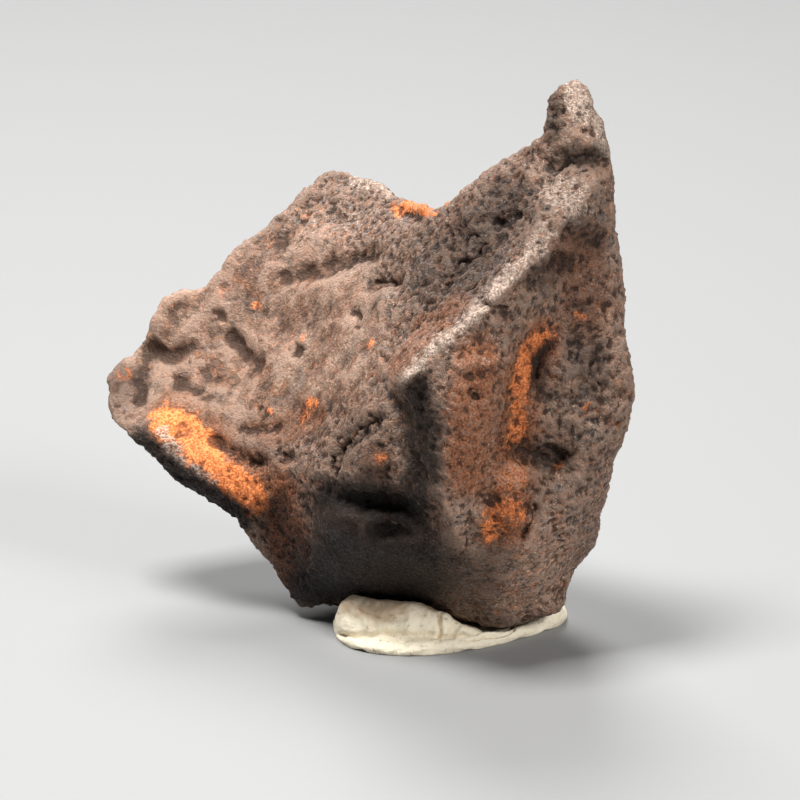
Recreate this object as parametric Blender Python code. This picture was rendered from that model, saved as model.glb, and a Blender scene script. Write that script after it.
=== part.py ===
"""A small iron meteorite that stands on a dab of putty.

The stone is one solid. Its form is a broad hollowed wing on the left, a finger-like horn on
the upper right, and a thin ridge that runs from the horn down to a nose which juts forward.
The form is laid out by landmarks, the way a sculptor would mark the blank: an outline, named
lines such as the ridge, and single points between them. Each landmark says where it is seen
from one fixed viewpoint in front of the stone, and how far it lies towards that viewpoint.
Landmarks are joined by triangles, the cage is rounded by subdivision, and low relief is added.

Lengths in the tables are millimetres; the objects are built in metres, +Z up. The origin is
the middle of the putty's flat underside, on the surface that the object stands on.
"""
import math

import bpy
from mathutils import Vector, noise
from mathutils.bvhtree import BVHTree
from mathutils.geometry import delaunay_2d_cdt

MM = 0.001

# The viewpoint that the landmarks are seen from: it looks along +Y and down by the tilt.
VIEW_TILT = math.radians(15.0)
VIEW_DISTANCE = 166.7
VIEW_CENTRE_RIGHT = -2.5
VIEW_CENTRE_UP = 14.15

# Where the putty's middle lies in the viewpoint's own floor frame.
FOOT_RIGHT = 0.2
FOOT_AWAY = 9.8

# Rounding and relief of the stone.
CAGE_LEVEL = 3
FIT_ROUNDS = 3
STONE_TRIANGLES = 8200
LUMP_SIZE = 2.3
LUMP_HEIGHT = 0.2
GRAIN_SIZE = 0.95
GRAIN_HEIGHT = 0.09
WARP_SIZE = 0.9
WARP_REACH = 0.22

# The stone's outline as seen, clockwise from the tip of the horn: right, up, towards.
OUTLINE = [
    # the horn's tip and right side
    (6.0, 30.1, 0.0), (6.85, 29.65, 0.0), (7.35, 28.5, 0.0), (7.7, 27.5, -0.1),
    (8.0, 26.3, -0.2), (8.15, 24.8, -0.3), (8.2, 23.2, -0.4),
    # the right rim, down to its corner
    (8.4, 21.6, -0.4), (8.5, 20.0, -0.4), (8.6, 18.4, -0.4), (8.7, 17.2, -0.4),
    (8.95, 15.8, -0.4), (9.1, 14.5, -0.5), (8.95, 13.3, -0.6), (8.7, 12.5, -1.0),
    # the right side below the corner, which turns away
    (8.15, 11.4, -2.0), (7.85, 10.0, -3.6), (7.6, 8.7, -5.2), (7.3, 7.6, -6.4),
    (6.8, 6.55, -7.0), (6.1, 5.6, -6.8), (5.7, 4.7, -6.4), (5.55, 3.8, -6.3),
    # the foot, set in the putty
    (4.9, 3.3, -6.3), (3.7, 3.0, -6.1), (2.5, 2.9, -6.0), (1.2, 3.0, -6.2),
    # the underside, up to the lower left corner
    (0.0, 3.3, -6.8), (-1.5, 3.7, -7.8), (-3.0, 3.9, -8.3), (-4.5, 3.95, -8.6),
    (-6.0, 3.95, -9.0), (-7.4, 4.0, -9.3),
    # the left side, up to the wing
    (-8.2, 4.7, -9.6), (-8.8, 5.8, -10.0), (-9.6, 6.9, -10.2), (-10.4, 7.95, -10.2),
    # the wing's lower rim
    (-11.5, 8.8, -10.2), (-12.75, 9.6, -10.2), (-14.2, 10.6, -10.4), (-15.2, 11.6, -10.8),
    (-16.2, 12.6, -11.4), (-17.0, 13.5, -12.2),
    # the wing's tip and the knob above it
    (-17.2, 14.6, -13.0), (-16.8, 15.7, -13.6), (-15.8, 16.4, -13.6), (-15.1, 17.5, -13.3),
    (-14.7, 18.7, -13.0), (-13.7, 19.5, -13.0), (-12.5, 19.7, -13.0),
    # the long slope up to the peak
    (-11.5, 20.5, -12.8), (-10.7, 21.7, -12.8), (-9.5, 22.8, -13.1), (-8.2, 23.8, -13.6),
    (-7.0, 24.9, -14.0), (-6.0, 25.6, -14.2), (-4.6, 25.4, -13.2), (-3.5, 24.9, -11.8),
    # the notch between the peak and the horn
    (-2.6, 24.15, -9.8), (-1.5, 24.0, -7.2), (-0.75, 23.65, -4.4), (0.2, 24.1, -3.0),
    (1.2, 24.95, -2.5), (2.1, 25.9, -2.4), (3.2, 26.4, -2.0), (4.1, 27.1, -1.3),
    # the horn's left side
    (4.75, 27.35, -0.7), (4.85, 28.3, -0.35), (5.1, 29.4, -0.1),
]

# Named lines on the front: how sharp each is, from 0 to 1, and its landmarks.
FRONT_LINES = {
    "horn_lip": (0.6, [
        (5.4, 26.75, 0.7), (6.3, 27.0, 1.15), (7.1, 26.95, 0.9)]),
    "under_horn_lip": (0.2, [
        (5.35, 25.65, 0.3), (6.2, 26.3, 0.4), (7.25, 26.3, 0.2)]),
    "ridge_crest": (0.75, [
        (6.9, 25.4, 0.9), (6.95, 24.5, 1.3), (6.35, 23.2, 1.9), (5.4, 22.5, 2.3),
        (4.6, 21.6, 2.8), (3.4, 20.6, 3.4), (2.3, 19.3, 4.0), (1.3, 18.35, 4.4),
        (0.2, 17.45, 4.6), (-0.8, 16.6, 4.65), (-1.6, 15.75, 4.5), (-2.35, 14.95, 4.3)]),
    "facet_left_edge": (0.4, [
        (5.0, 25.05, 0.8), (4.7, 24.0, 1.5), (4.45, 22.9, 2.1), (3.7, 21.9, 2.7)]),
    "ridge_left_flank": (0.0, [
        (3.9, 23.3, 1.1), (3.0, 21.8, 1.6), (2.0, 20.5, 2.0), (1.1, 19.3, 2.2),
        (0.2, 18.3, 2.4), (-0.8, 17.35, 2.5), (-1.7, 16.45, 2.5), (-2.4, 15.6, 2.6)]),
    "valley_behind_ridge": (0.3, [
        (4.2, 25.6, 0.2), (3.7, 24.5, 0.2), (3.0, 23.1, 0.1), (2.0, 21.9, 0.1),
        (0.9, 20.7, 0.1), (0.0, 19.4, 0.1), (-0.9, 18.1, 0.1), (-1.9, 17.0, 0.1),
        (-2.8, 15.9, 0.2), (-2.95, 14.9, 0.6), (-2.5, 14.1, 0.9), (-2.3, 13.2, 1.1),
        (-1.9, 12.3, 1.3), (-1.55, 11.4, 1.4), (-1.35, 10.6, 1.4)]),
    "nose_dark_side": (0.0, [
        (-2.05, 14.3, 3.1), (-1.75, 13.4, 2.9), (-1.5, 12.4, 2.7), (-1.2, 11.3, 2.5),
        (-1.0, 10.3, 2.2)]),
    "nose_edge": (0.6, [
        (-0.6, 15.7, 4.75), (-0.8, 14.7, 4.7), (-0.95, 13.6, 4.45), (-0.85, 12.4, 4.1),
        (-0.8, 11.2, 3.6), (-0.55, 10.1, 3.1), (-0.35, 9.0, 2.5), (0.1, 8.0, 1.7),
        (0.4, 6.9, 0.6)]),
    "vein": (0.3, [
        (5.1, 18.6, 1.3), (4.4, 17.2, 1.4), (3.7, 16.0, 1.5), (3.35, 14.7, 1.6),
        (3.2, 13.3, 1.4), (3.0, 12.0, 1.1)]),
    "shelf_lip": (0.6, [
        (-6.8, 10.6, -3.3), (-5.7, 10.3, -1.9), (-4.6, 10.2, -0.8), (-3.6, 10.0, 0.0),
        (-2.6, 9.8, 0.6), (-1.7, 9.6, 1.1)]),
    "shelf_root": (0.2, [
        (-6.0, 9.2, -3.2), (-4.6, 9.1, -1.9), (-3.2, 9.0, -1.0), (-2.0, 8.7, -0.4),
        (-1.0, 8.2, 0.2)]),
    "belly_top": (0.3, [
        (-5.9, 8.2, -2.9), (-4.6, 8.1, -1.5), (-3.3, 7.9, -0.6), (-2.0, 7.5, -0.3),
        (-0.8, 6.9, -0.2)]),
    "belly_fold": (0.3, [
        (-7.5, 9.3, -5.2), (-7.2, 8.0, -5.6), (-7.0, 6.6, -6.2), (-6.9, 5.2, -7.4)]),
    "wing_lower_crest": (0.7, [
        (-15.9, 13.0, -11.0), (-14.6, 12.2, -10.3), (-13.9, 11.2, -9.8),
        (-12.6, 10.2, -9.3), (-11.2, 9.6, -8.9), (-10.1, 8.9, -8.7), (-9.2, 8.2, -8.7)]),
    "groove_under_peak": (0.2, [
        (-8.1, 20.3, -10.9), (-7.0, 20.5, -9.7), (-5.8, 20.7, -8.6), (-4.6, 20.9, -7.5)]),
}

# Single points on the front.
FRONT_POINTS = [
    # the horn
    (5.95, 29.2, 0.75), (6.9, 28.4, 0.6), (5.5, 27.8, 0.7), (7.3, 27.6, 0.4), (6.4, 27.8, 1.1),
    (4.5, 26.5, -0.2), (3.6, 25.9, -0.7), (2.3, 24.8, -0.9), (1.1, 23.6, -1.0),
    (7.75, 25.6, 0.2), (5.9, 25.3, 1.0), (5.7, 24.0, 1.75),
    # the dark face right of the ridge
    (7.6, 23.6, 0.4), (6.9, 21.9, 0.9), (5.7, 21.2, 1.7), (4.4, 19.9, 2.5), (7.7, 21.0, 0.3),
    (5.8, 19.8, 1.2), (7.0, 19.3, 0.8), (3.3, 18.7, 3.2), (2.0, 17.4, 3.9), (0.7, 16.5, 4.5),
    # the nose's right face
    (3.4, 17.4, 2.5), (2.3, 16.1, 3.6), (2.2, 14.8, 3.5), (0.9, 15.0, 4.6), (0.6, 13.4, 4.5),
    (2.1, 13.2, 3.2), (0.7, 11.9, 3.9), (1.9, 11.8, 2.7), (0.6, 10.3, 3.1), (1.4, 10.9, 2.7),
    (0.8, 8.9, 2.2), (-1.55, 14.9, 4.1),
    # the orange nodule
    (2.2, 10.9, 1.9), (3.3, 10.7, 1.2), (1.7, 9.5, 1.7), (2.8, 9.6, 1.1), (3.9, 9.2, 0.5),
    (1.4, 7.9, 1.1), (2.5, 8.1, 0.9), (3.6, 8.0, 0.3), (2.4, 7.1, 0.0),
    # the slab on the right
    (6.1, 17.6, 1.0), (7.6, 17.6, 0.5), (5.1, 16.2, 1.3), (6.4, 15.8, 1.2), (7.8, 15.6, 0.5),
    (4.6, 14.4, 1.2), (6.1, 14.2, 1.1), (7.6, 13.8, 0.4), (4.7, 12.9, 0.8), (6.4, 12.6, 0.7),
    (7.7, 12.2, -0.1), (4.3, 11.6, 0.1), (5.5, 11.3, -0.2), (6.8, 10.9, 0.0),
    (4.7, 10.2, 0.2), (5.9, 9.8, -0.1), (7.0, 9.6, -1.4), (4.9, 8.6, -0.2), (6.2, 8.3, -1.4),
    (4.4, 7.0, -1.0), (5.6, 7.0, -2.4), (6.4, 7.1, -3.8),
    # the foot's front
    (3.2, 6.0, -1.2), (1.8, 5.8, -1.0), (4.6, 5.5, -3.0), (5.3, 5.9, -4.0), (3.2, 4.5, -3.4),
    (1.8, 4.2, -3.6), (4.7, 4.2, -4.7), (0.6, 5.2, -2.2), (0.4, 3.9, -4.8),
    # the belly
    (-5.6, 6.7, -3.8), (-4.2, 6.5, -2.5), (-2.7, 6.2, -2.0), (-1.0, 5.7, -1.9),
    (-5.6, 5.2, -6.0), (-4.0, 5.0, -5.2), (-2.4, 4.8, -4.8), (-0.8, 4.4, -4.6),
    # the rusty side between the belly and the wing
    (-8.6, 9.7, -6.9), (-8.3, 8.2, -7.9), (-8.1, 6.6, -8.4), (-7.7, 5.2, -8.7),
    # the orange patch on the wing
    (-13.9, 13.2, -10.8), (-12.6, 12.0, -9.9), (-11.2, 11.0, -8.9), (-9.8, 10.2, -8.0),
    # the hollow of the wing
    (-16.1, 14.7, -12.5), (-14.7, 14.9, -12.2), (-13.0, 14.6, -11.4), (-11.3, 13.6, -10.0),
    (-9.9, 12.4, -8.3), (-8.4, 11.0, -6.2), (-9.6, 14.6, -9.4), (-8.2, 13.1, -7.3),
    (-7.0, 12.0, -4.9), (-7.8, 15.1, -7.7), (-6.3, 13.6, -4.6), (-5.6, 11.9, -2.3),
    (-5.4, 15.0, -3.7), (-4.6, 13.4, -1.1), (-4.2, 11.7, -0.2), (-3.0, 11.3, 0.7),
    (-3.5, 14.0, 0.1), (-3.2, 12.6, 0.5), (-2.2, 10.6, 1.0),
    (-4.2, 15.6, -1.8), (-14.1, 17.8, -12.9), (-14.3, 16.5, -12.9), (-12.4, 18.4, -12.8),
    (-12.2, 16.4, -12.1), (-10.8, 17.9, -12.1), (-10.2, 16.0, -10.9), (-10.2, 20.1, -12.2),
    (-9.0, 18.6, -11.2), (-8.4, 16.9, -9.3), (-7.0, 18.3, -9.0), (-6.6, 16.6, -7.1),
    (-5.2, 17.4, -5.2), (-5.2, 19.3, -6.8), (-3.7, 16.9, -2.4), (-3.6, 18.4, -3.6),
    (-2.4, 18.1, -1.7), (-3.3, 20.2, -5.0), (-1.7, 19.6, -1.9), (-0.6, 20.6, -1.4),
    (-2.0, 21.4, -4.0), (-0.5, 22.1, -2.6), (0.8, 22.2, -0.9), (-3.4, 22.2, -7.0),
    (-1.5, 22.9, -4.6),
    # below and on the peak
    (-9.2, 21.6, -12.3), (-7.4, 21.8, -11.5), (-5.6, 22.1, -9.9), (-7.6, 23.3, -12.9),
    (-5.8, 24.0, -12.6), (-4.1, 23.6, -10.2), (-2.8, 23.4, -8.2),
]

# Named lines and points on the back, placed as if the stone were clear.
BACK_LINES = {
    "right_side_turn": (0.0, [
        (7.5, 27.4, -0.9), (7.8, 25.6, -1.5), (8.0, 23.6, -1.9), (8.15, 21.7, -2.1),
        (8.25, 19.8, -2.3), (8.4, 17.9, -2.4), (8.6, 16.1, -2.6), (8.7, 14.5, -2.8),
        (8.5, 13.0, -3.3), (7.9, 11.4, -4.3), (7.5, 9.8, -5.7), (7.2, 8.4, -7.0),
        (6.8, 7.2, -8.0), (6.1, 6.0, -8.3), (5.5, 4.8, -8.0)]),
    "left_side_turn": (0.0, [
        (-7.6, 4.9, -10.6), (-8.3, 6.2, -11.3), (-9.3, 7.6, -11.5), (-10.6, 8.8, -11.5),
        (-12.2, 9.9, -11.6), (-13.8, 11.1, -12.1), (-15.2, 12.5, -12.8), (-16.2, 13.8, -13.8)]),
    "back_spine": (0.5, [
        (6.4, 27.2, -1.5), (5.4, 25.0, -3.9), (4.2, 22.4, -6.6), (2.6, 19.6, -9.8),
        (0.9, 16.6, -12.9), (-0.6, 13.4, -15.2), (-1.8, 10.4, -15.8), (-2.6, 7.4, -14.6)]),
    "wing_back_edge": (0.4, [
        (-2.4, 20.6, -12.6), (-5.0, 19.6, -15.8), (-7.6, 17.4, -17.3), (-10.2, 15.0, -17.4),
        (-12.8, 13.6, -16.2)]),
    "back_lower_edge": (0.4, [
        (6.3, 9.4, -8.9), (4.6, 7.0, -11.2), (2.2, 6.0, -12.6), (-0.4, 5.6, -12.8)]),
}
BACK_POINTS = [
    # the horn and the right face
    (6.0, 29.0, -0.95), (6.8, 27.6, -1.5), (5.3, 27.6, -1.3), (7.0, 24.4, -3.2),
    (6.2, 22.4, -4.9), (7.2, 21.4, -4.0), (5.2, 20.0, -7.2), (7.0, 18.6, -5.0),
    (5.6, 17.2, -7.9), (3.6, 16.6, -10.2), (7.1, 15.4, -6.0), (6.0, 13.6, -8.2),
    (3.7, 13.6, -11.2), (6.7, 11.8, -7.9), (5.2, 10.8, -9.9), (2.6, 10.6, -13.1),
    (1.2, 13.6, -13.7), (0.6, 9.0, -14.3),
    # the lower back, above the foot
    (4.9, 4.7, -9.2), (3.2, 4.4, -9.7), (1.2, 4.3, -10.2),
    (-1.2, 4.7, -10.9), (-3.6, 5.2, -11.4), (-5.8, 5.2, -11.4),
    (-4.8, 6.8, -13.6), (-7.4, 7.4, -13.1), (-4.6, 8.9, -15.6), (-7.0, 9.4, -14.9),
    (-9.6, 9.4, -13.2), (-4.0, 11.8, -16.6), (-6.8, 12.0, -16.4), (-9.4, 11.4, -15.2),
    (-11.8, 11.1, -13.8), (-3.2, 15.0, -15.6), (-5.8, 15.2, -16.7), (-8.6, 13.4, -16.6),
    (-11.4, 12.8, -15.7), (-13.6, 12.6, -14.4),
    # the back of the wing and of the peak
    (-15.6, 14.6, -14.5), (-14.4, 15.8, -15.2), (-13.6, 17.6, -14.9), (-11.8, 16.6, -16.4),
    (-11.6, 18.7, -15.2), (-9.6, 18.0, -16.8), (-9.8, 20.6, -15.2), (-7.6, 20.2, -16.6),
    (-8.0, 22.6, -15.4), (-5.4, 22.0, -16.2), (-6.0, 24.2, -15.6), (-3.6, 23.2, -14.1),
    (-1.4, 22.6, -9.4), (0.4, 21.4, -9.2), (-0.8, 19.0, -12.6), (-2.6, 17.8, -14.6),
    (1.0, 23.6, -5.2), (2.6, 24.4, -4.9), (2.2, 22.0, -7.4), (4.0, 25.6, -3.4),
]

# Low forms: half width, height (negative for a hollow), and where it runs: right, up.
FRONT_FORMS = {
    # the wing
    "seam_under_peak": (0.55, -0.4, [(-8.3, 20.3), (-6.8, 20.6), (-5.4, 21.0), (-4.0, 21.5)]),
    "swelling_over_seam": (1.0, 0.25, [(-7.6, 21.8), (-5.6, 22.1)]),
    "peak_knob": (1.2, 0.3, [(-5.3, 24.2)]),
    "arc_crevice": (0.45, -0.4, [(-3.9, 19.8), (-3.3, 20.25), (-2.6, 20.0)]),
    "bump_under_arc": (0.8, 0.25, [(-3.3, 19.2)]),
    "red_pit": (0.65, -0.35, [(-7.6, 16.6)]),
    "twin_pit": (0.55, -0.35, [(-4.7, 18.5)]),
    "tip_lobe_crease": (0.5, -0.3, [(-15.3, 16.3), (-15.6, 15.2), (-15.5, 14.2)]),
    "knob_crease": (0.5, -0.25, [(-14.9, 16.8), (-13.9, 16.4), (-12.9, 16.9)]),
    "upper_crease": (0.5, -0.3, [(-10.9, 17.3), (-10.3, 16.6), (-9.7, 15.9)]),
    "middle_crease": (0.5, -0.25, [(-13.5, 15.1), (-12.3, 14.4), (-11.2, 14.2)]),
    "lower_crease": (0.5, -0.3, [(-10.4, 12.7), (-8.8, 12.9)]),
    "rust_crease": (0.55, -0.3, [(-11.9, 12.1), (-10.6, 11.3), (-9.6, 11.0)]),
    "pit_by_rust": (0.6, -0.5, [(-8.1, 11.3)]),
    "wing_swelling": (1.3, 0.3, [(-13.0, 17.8), (-11.6, 18.6)]),
    # the channel between the wing and the ridge
    "notch_hollow": (0.45, -0.35, [(-2.5, 23.5), (-1.7, 23.2)]),
    "channel_pits": (0.5, -0.3, [(2.4, 23.0), (3.3, 23.3)]),
    "channel_slit": (0.4, -0.25, [(-0.5, 19.6), (0.6, 20.9), (1.8, 21.9)]),
    "rusty_band": (0.45, 0.2, [(-2.5, 16.3), (-1.2, 17.7), (0.3, 19.0)]),
    # the ridge
    "crest_knob_upper": (0.6, 0.2, [(3.3, 20.7)]),
    "crest_knob_middle": (0.7, 0.25, [(2.3, 19.4)]),
    "crest_knob_lower": (0.8, 0.25, [(1.1, 18.3)]),
    "crest_gap": (0.45, -0.25, [(1.8, 18.9), (2.8, 18.4)]),
    "hollow_by_facet": (0.8, -0.4, [(6.2, 22.6), (7.2, 22.2)]),
    "hollow_under_facet": (0.9, -0.35, [(5.6, 21.0), (6.6, 21.2)]),
    "flank_hollow": (0.8, -0.3, [(3.8, 19.9), (4.6, 20.4)]),
    # the nose and the vein beside it
    "nose_fold": (0.6, 0.22, [(0.3, 15.9), (2.8, 16.2)]),
    "under_nose_fold": (0.5, -0.2, [(0.9, 15.3), (2.4, 15.5)]),
    "nose_pit": (0.5, -0.4, [(1.3, 14.5)]),
    "vein_cavity": (0.5, -0.4, [(4.2, 15.4), (4.5, 16.4), (5.0, 17.0)]),
    "vein_lip": (0.45, 0.25, [(3.6, 16.2), (3.5, 15.0), (3.3, 13.8)]),
    # the nodule
    "nodule_left": (0.75, 0.35, [(1.6, 8.0)]),
    "nodule_right": (1.0, 0.35, [(2.9, 8.3)]),
    "nodule_top": (0.9, 0.3, [(3.0, 10.3)]),
    "nodule_waist": (0.5, -0.35, [(1.6, 9.4), (2.3, 9.1)]),
    "nodule_edge": (0.45, -0.35, [(4.1, 8.8), (4.0, 8.0), (3.6, 7.3)]),
    # the slab on the right
    "slab_hollow": (0.8, -0.35, [(3.7, 11.5), (5.2, 11.3)]),
    "slab_crack": (0.45, -0.3, [(6.4, 17.6), (6.1, 16.4)]),
    "slab_dimple": (0.6, -0.25, [(7.3, 16.2)]),
    "slab_shade": (0.7, -0.25, [(4.6, 14.3), (5.2, 14.2)]),
    # the shelf and the belly
    "black_hollow": (0.8, -0.7, [(-3.5, 7.7), (-2.4, 7.6)]),
    "shelf_cleft": (0.5, -0.4, [(-4.6, 9.4), (-3.2, 9.0), (-2.4, 8.9)]),
    "left_crack": (0.45, -0.35, [(-3.7, 13.1), (-4.9, 12.1), (-5.6, 11.4), (-5.8, 10.6)]),
    "knob_over_shelf": (0.8, 0.3, [(-3.8, 10.9)]),
    "belly_swelling": (1.3, 0.35, [(-5.8, 8.3)]),
}
BACK_FORMS = {
    "hollow_right_upper": (2.2, -0.7, [(5.4, 20.6)]),
    "hollow_right_middle": (2.3, -0.8, [(5.2, 15.4)]),
    "hollow_right_lower": (1.8, -0.6, [(4.6, 10.6)]),
    "hollow_middle": (2.3, -0.8, [(-2.4, 17.4)]),
    "hollow_below_middle": (2.2, -0.7, [(-4.6, 12.6), (-5.4, 11.6)]),
    "hollow_wing": (2.4, -0.8, [(-9.0, 18.8)]),
    "hollow_wing_lower": (1.9, -0.6, [(-10.8, 13.4)]),
    "hollow_low": (2.0, -0.6, [(-1.0, 8.4)]),
    "hollow_low_left": (1.7, -0.5, [(-7.2, 8.4)]),
    "swelling_under_notch": (1.6, 0.5, [(-0.6, 21.0)]),
    "swelling_middle": (1.4, 0.4, [(0.6, 13.4)]),
    "ledge": (0.6, -0.45, [(7.0, 17.6), (5.6, 18.2), (3.9, 17.8)]),
    "ledge_low": (0.6, -0.4, [(-2.4, 10.4), (-0.2, 11.0), (1.8, 10.2)]),
}
RELIEF_GRAZE = 0.05
RELIEF_FACING = 0.35

# The putty: its outline on the floor seen from above, right and away from its middle.
PUTTY_OUTLINE = [
    (-5.9, -3.6), (-4.9, -5.1), (-2.8, -5.9), (-0.7, -5.7), (1.4, -4.8), (3.5, -3.3),
    (4.9, -2.0), (6.0, -0.7), (6.1, 1.2), (5.2, 3.2), (3.4, 4.6), (1.0, 5.3),
    (-1.6, 5.1), (-3.8, 4.2), (-5.4, 2.5), (-6.1, 0.2), (-6.2, -2.0),
]
PUTTY_STEPS = 3
PUTTY_RINGS = [0.985, 1.0, 0.97, 0.92, 0.86, 0.79, 0.71, 0.62, 0.5, 0.3]
PUTTY_EDGE = 0.3
PUTTY_RIM = 0.68
PUTTY_RIM_INNER = 0.84
PUTTY_FLOOR = 0.36
PUTTY_GAP = 0.32

# What stands up out of the putty: half width, height, and where it runs: right, away.
PUTTY_LUMPS = {
    "left_flap": (1.25, 2.3, [(-5.0, -2.7), (-3.9, -3.5), (-2.4, -3.7), (-0.9, -3.4)]),
    "front_lump": (1.0, 1.35, [(0.4, -3.5)]),
    "right_end": (1.1, 1.2, [(5.2, -0.8)]),
    "left_side": (1.0, 1.1, [(-5.2, 0.4), (-4.6, 2.2)]),
    "back_side": (1.1, 1.3, [(-1.6, 4.0), (1.4, 4.1)]),
}


def clear_scene():
    for obj in list(bpy.data.objects):
        bpy.data.objects.remove(obj, do_unlink=True)


def principled(name, colour, roughness, metallic):
    material = bpy.data.materials.new(name)
    material.use_nodes = True
    shader = material.node_tree.nodes["Principled BSDF"]
    shader.inputs["Base Color"].default_value = (*colour, 1.0)
    shader.inputs["Roughness"].default_value = roughness
    shader.inputs["Metallic"].default_value = metallic
    material.diffuse_color = (*colour, 1.0)
    return material


def from_view(landmark):
    """Turns a landmark as seen from the viewpoint into a point in metres."""
    right, up, towards = landmark
    spread = 1.0 - towards / VIEW_DISTANCE
    across = VIEW_CENTRE_RIGHT + (right - VIEW_CENTRE_RIGHT) * spread
    rise = VIEW_CENTRE_UP + (up - VIEW_CENTRE_UP) * spread
    away = rise * math.sin(VIEW_TILT) - towards * math.cos(VIEW_TILT)
    height = rise * math.cos(VIEW_TILT) + towards * math.sin(VIEW_TILT)
    return Vector((across - FOOT_RIGHT, away - FOOT_AWAY, height)) * MM


def to_view(point):
    """The reverse: where a point in metres is seen, and how far towards the viewpoint."""
    across = point.x / MM + FOOT_RIGHT
    away = point.y / MM + FOOT_AWAY
    height = point.z / MM
    rise = away * math.sin(VIEW_TILT) + height * math.cos(VIEW_TILT)
    towards = height * math.sin(VIEW_TILT) - away * math.cos(VIEW_TILT)
    spread = 1.0 - towards / VIEW_DISTANCE
    right = VIEW_CENTRE_RIGHT + (across - VIEW_CENTRE_RIGHT) / spread
    up = VIEW_CENTRE_UP + (rise - VIEW_CENTRE_UP) / spread
    return right, up, towards


def triangulate_side(outline, lines, points):
    """Joins one side's landmarks; gives its inner landmarks, triangles and sharp edges."""
    inner = []
    edges = []
    sharp = {}
    first = len(outline)
    for sharpness, line in lines.values():
        start = first + len(inner)
        inner.extend(line)
        for step in range(len(line) - 1):
            edge = (start + step, start + step + 1)
            edges.append(edge)
            sharp[edge] = sharpness
    inner.extend(points)
    seen = [Vector((right, up)) for right, up, _ in outline + inner]
    border = list(reversed(range(len(outline))))
    joined = delaunay_2d_cdt(seen, edges, [border], 1, 1e-6)
    if len(joined[0]) != len(seen):
        raise ValueError("two landmark lines cross, or a landmark lies outside the outline")
    source = [ids[0] for ids in joined[3]]
    triangles = [tuple(source[i] for i in face) for face in joined[2]]
    return inner, triangles, sharp


def build_cage():
    """The landmarks of both sides as one closed cage of triangles."""
    front, front_triangles, front_sharp = triangulate_side(OUTLINE, FRONT_LINES, FRONT_POINTS)
    back, back_triangles, back_sharp = triangulate_side(OUTLINE, BACK_LINES, BACK_POINTS)
    rim = len(OUTLINE)
    shift = len(front)

    def behind(index):
        return index if index < rim else index + shift

    landmarks = [from_view(mark) for mark in OUTLINE + front + back]
    triangles = list(front_triangles)
    for a, b, c in back_triangles:
        triangles.append((behind(c), behind(b), behind(a)))
    sharp = dict(front_sharp)
    for (a, b), sharpness in back_sharp.items():
        sharp[(behind(a), behind(b))] = sharpness
    return landmarks, triangles, sharp


def set_creases(mesh, sharp):
    crease = mesh.attributes.new("crease_edge", "FLOAT", "EDGE")
    for edge in mesh.edges:
        a, b = edge.vertices
        crease.data[edge.index].value = sharp.get((a, b), sharp.get((b, a), 0.0))


def round_cage(landmarks, triangles, sharp):
    """Subdivides the cage, moved until the rounded surface passes through the landmarks."""
    mesh = bpy.data.meshes.new("stone_cage")
    mesh.from_pydata(landmarks, [], triangles)
    set_creases(mesh, sharp)
    cage = bpy.data.objects.new("stone_cage", mesh)
    bpy.context.scene.collection.objects.link(cage)
    rounding = cage.modifiers.new("Rounding", "SUBSURF")
    rounding.levels = CAGE_LEVEL
    rounding.render_levels = CAGE_LEVEL
    rounding.use_limit_surface = True
    for _ in range(FIT_ROUNDS):
        bpy.context.view_layer.update()
        rounded = cage.evaluated_get(bpy.context.evaluated_depsgraph_get()).data
        for vertex, landmark in zip(mesh.vertices, landmarks):
            vertex.co += landmark - rounded.vertices[vertex.index].co
        mesh.update()
    bpy.context.view_layer.update()
    evaluated = cage.evaluated_get(bpy.context.evaluated_depsgraph_get())
    result = bpy.data.meshes.new_from_object(evaluated)
    bpy.data.objects.remove(cage, do_unlink=True)
    return result


def distance_to_path(x, y, path):
    """How far a place in the plane is from a path of straight runs, or from its one point."""
    place = Vector((x, y))
    points = [Vector(point) for point in path]
    if len(points) == 1:
        return (place - points[0]).length
    nearest = math.inf
    for start, end in zip(points, points[1:]):
        run = end - start
        along = max(0.0, min(1.0, (place - start).dot(run) / run.length_squared))
        nearest = min(nearest, (place - start - run * along).length)
    return nearest


def form_height(forms, right, up):
    """The summed height of the low forms at one place, each a soft mound or hollow."""
    total = 0.0
    for half_width, height, path in forms.values():
        distance = distance_to_path(right, up, path) / half_width
        if distance < 1.0:
            total += height * (1.0 - distance * distance) ** 2
    return total


def add_relief(mesh):
    """Lumps all over, and the low forms of the side that a vertex faces."""
    viewer = Vector((0.0, -math.cos(VIEW_TILT), math.sin(VIEW_TILT)))
    moved = []
    for vertex in mesh.vertices:
        place = vertex.co / MM
        height = noise.noise(place / LUMP_SIZE) * LUMP_HEIGHT
        height += noise.noise(place / GRAIN_SIZE) * GRAIN_HEIGHT
        facing = vertex.normal.dot(viewer)
        share = min(1.0, (abs(facing) - RELIEF_GRAZE) / RELIEF_FACING)
        if share > 0.0:
            right, up, _ = to_view(vertex.co)
            warp = noise.noise_vector(place / WARP_SIZE) * WARP_REACH
            forms = FRONT_FORMS if facing > 0.0 else BACK_FORMS
            height += form_height(forms, right + warp.x, up + warp.z) * share
        moved.append(vertex.co + vertex.normal * height * MM)
    for vertex, place in zip(mesh.vertices, moved):
        vertex.co = place
    mesh.update()


def make_meteorite():
    landmarks, triangles, sharp = build_cage()
    mesh = round_cage(landmarks, triangles, sharp)
    add_relief(mesh)
    mesh.name = "meteorite"
    mesh.shade_smooth()
    stone = bpy.data.objects.new("meteorite", mesh)
    bpy.context.scene.collection.objects.link(stone)
    triangle_count = sum(len(face.vertices) - 2 for face in mesh.polygons)
    thinning = stone.modifiers.new("Thinning", "DECIMATE")
    thinning.ratio = STONE_TRIANGLES / triangle_count
    mesh.materials.append(principled("meteoritic_iron", (0.10, 0.055, 0.04), 0.6, 0.3))
    return stone


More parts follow.
